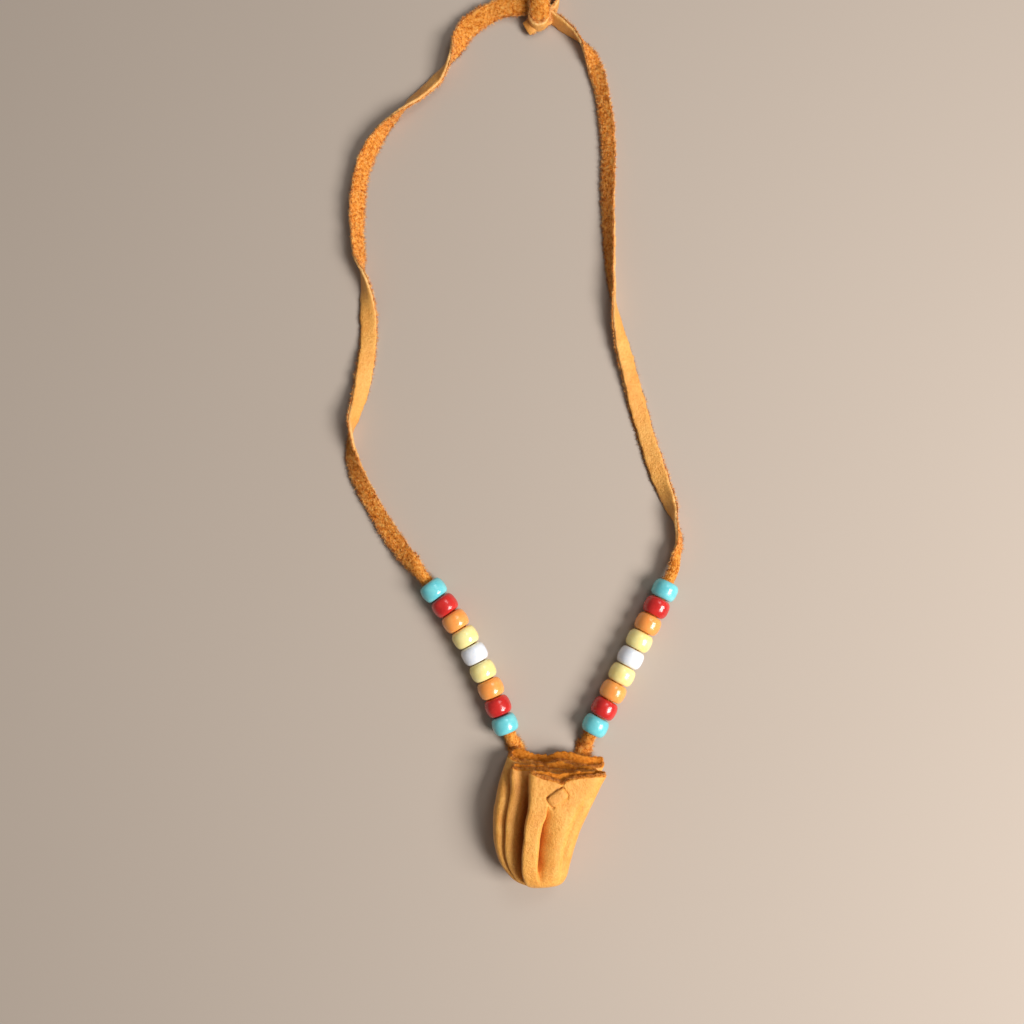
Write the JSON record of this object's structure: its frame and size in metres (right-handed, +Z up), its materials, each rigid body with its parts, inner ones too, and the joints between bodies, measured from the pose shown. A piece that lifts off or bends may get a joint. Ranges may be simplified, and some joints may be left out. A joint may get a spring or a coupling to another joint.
{
  "type": "beaded medicine bag",
  "caption": "Small gathered leather neck pouch drawn shut on a flat leather lace, with a row of barrel beads up each side and a knotted neck loop.",
  "frame": {"origin": "under the middle of the pouch, on the surface that it rests on", "axes": "+Y from the pouch's round bottom to its mouth and on along the neck loop, +Z up out of the pouch's front"},
  "size_m": [0.1155, 0.3189, 0.0193],
  "materials": {
    "pouch_leather": "soft smooth grain outside, fuzzy suede at the cut rim and inside",
    "lace_leather": "flat thong, one grain side and one fuzzy suede side with frayed edges",
    "bead_turquoise": "glossy opaque moulded plastic",
    "bead_red": "glossy opaque moulded plastic",
    "bead_orange": "glossy opaque moulded plastic",
    "bead_yellow": "glossy opaque moulded plastic",
    "bead_white": "glossy opaque moulded plastic, faintly lilac"
  },
  "bodies": {
    "pouch": {"pouch": "pouch_leather", "lace": "lace_leather", "lace_knot": "lace_leather"},
    "bead_left_1": {"bead_left_1": "bead_turquoise"},
    "bead_left_2": {"bead_left_2": "bead_red"},
    "bead_left_3": {"bead_left_3": "bead_orange"},
    "bead_left_4": {"bead_left_4": "bead_yellow"},
    "bead_left_5": {"bead_left_5": "bead_white"},
    "bead_left_6": {"bead_left_6": "bead_yellow"},
    "bead_left_7": {"bead_left_7": "bead_orange"},
    "bead_left_8": {"bead_left_8": "bead_red"},
    "bead_left_9": {"bead_left_9": "bead_turquoise"},
    "bead_right_1": {"bead_right_1": "bead_turquoise"},
    "bead_right_2": {"bead_right_2": "bead_red"},
    "bead_right_3": {"bead_right_3": "bead_orange"},
    "bead_right_4": {"bead_right_4": "bead_yellow"},
    "bead_right_5": {"bead_right_5": "bead_white"},
    "bead_right_6": {"bead_right_6": "bead_yellow"},
    "bead_right_7": {"bead_right_7": "bead_orange"},
    "bead_right_8": {"bead_right_8": "bead_red"},
    "bead_right_9": {"bead_right_9": "bead_turquoise"}
  },
  "joints": [
    {"name": "left_beads_slide", "type": "slide", "parent": "pouch", "child": "bead_left_1", "axis": [-0.6037, 0.7972, 0.0039], "range_m": [-0.003, 0.004]},
    {"name": "left_bead_2_slide", "type": "slide", "parent": "pouch", "child": "bead_left_2", "axis": [-0.582, 0.8132, 0], "range_m": [-0.003, 0.004]},
    {"name": "left_bead_3_slide", "type": "slide", "parent": "pouch", "child": "bead_left_3", "axis": [-0.5442, 0.8389, 0], "range_m": [-0.003, 0.004]},
    {"name": "left_bead_4_slide", "type": "slide", "parent": "pouch", "child": "bead_left_4", "axis": [-0.5089, 0.8608, 0], "range_m": [-0.003, 0.004]},
    {"name": "left_bead_5_slide", "type": "slide", "parent": "pouch", "child": "bead_left_5", "axis": [-0.4685, 0.8835, 0], "range_m": [-0.003, 0.004]},
    {"name": "left_bead_6_slide", "type": "slide", "parent": "pouch", "child": "bead_left_6", "axis": [-0.4277, 0.9039, 0], "range_m": [-0.003, 0.004]},
    {"name": "left_bead_7_slide", "type": "slide", "parent": "pouch", "child": "bead_left_7", "axis": [-0.4012, 0.916, -0.0003], "range_m": [-0.003, 0.004]},
    {"name": "left_bead_8_slide", "type": "slide", "parent": "pouch", "child": "bead_left_8", "axis": [-0.3702, 0.9289, -0.0019], "range_m": [-0.003, 0.004]},
    {"name": "left_bead_9_slide", "type": "slide", "parent": "pouch", "child": "bead_left_9", "axis": [-0.3695, 0.9292, 0.0093], "range_m": [-0.003, 0.004]},
    {"name": "right_beads_slide", "type": "slide", "parent": "pouch", "child": "bead_right_1", "axis": [0.4431, 0.8965, 0], "range_m": [-0.003, 0.004]},
    {"name": "right_bead_2_slide", "type": "slide", "parent": "pouch", "child": "bead_right_2", "axis": [0.4628, 0.8864, 0], "range_m": [-0.003, 0.004]},
    {"name": "right_bead_3_slide", "type": "slide", "parent": "pouch", "child": "bead_right_3", "axis": [0.4649, 0.8854, 0], "range_m": [-0.003, 0.004]},
    {"name": "right_bead_4_slide", "type": "slide", "parent": "pouch", "child": "bead_right_4", "axis": [0.4705, 0.8824, 0], "range_m": [-0.003, 0.004]},
    {"name": "right_bead_5_slide", "type": "slide", "parent": "pouch", "child": "bead_right_5", "axis": [0.4671, 0.8842, 0], "range_m": [-0.003, 0.004]},
    {"name": "right_bead_6_slide", "type": "slide", "parent": "pouch", "child": "bead_right_6", "axis": [0.4646, 0.8855, 0], "range_m": [-0.003, 0.004]},
    {"name": "right_bead_7_slide", "type": "slide", "parent": "pouch", "child": "bead_right_7", "axis": [0.4693, 0.883, -0.0005], "range_m": [-0.003, 0.004]},
    {"name": "right_bead_8_slide", "type": "slide", "parent": "pouch", "child": "bead_right_8", "axis": [0.4739, 0.8806, -0.0029], "range_m": [-0.003, 0.004]},
    {"name": "right_bead_9_slide", "type": "slide", "parent": "pouch", "child": "bead_right_9", "axis": [0.4648, 0.8853, 0.014], "range_m": [-0.003, 0.004]}
  ],
  "couplings": [
    {"joint": "left_bead_2_slide", "follows": "left_beads_slide", "ratio": 1},
    {"joint": "left_bead_3_slide", "follows": "left_beads_slide", "ratio": 1},
    {"joint": "left_bead_4_slide", "follows": "left_beads_slide", "ratio": 1},
    {"joint": "left_bead_5_slide", "follows": "left_beads_slide", "ratio": 1},
    {"joint": "left_bead_6_slide", "follows": "left_beads_slide", "ratio": 1},
    {"joint": "left_bead_7_slide", "follows": "left_beads_slide", "ratio": 1},
    {"joint": "left_bead_8_slide", "follows": "left_beads_slide", "ratio": 1},
    {"joint": "left_bead_9_slide", "follows": "left_beads_slide", "ratio": 1},
    {"joint": "right_bead_2_slide", "follows": "right_beads_slide", "ratio": 1},
    {"joint": "right_bead_3_slide", "follows": "right_beads_slide", "ratio": 1},
    {"joint": "right_bead_4_slide", "follows": "right_beads_slide", "ratio": 1},
    {"joint": "right_bead_5_slide", "follows": "right_beads_slide", "ratio": 1},
    {"joint": "right_bead_6_slide", "follows": "right_beads_slide", "ratio": 1},
    {"joint": "right_bead_7_slide", "follows": "right_beads_slide", "ratio": 1},
    {"joint": "right_bead_8_slide", "follows": "right_beads_slide", "ratio": 1},
    {"joint": "right_bead_9_slide", "follows": "right_beads_slide", "ratio": 1}
  ]
}
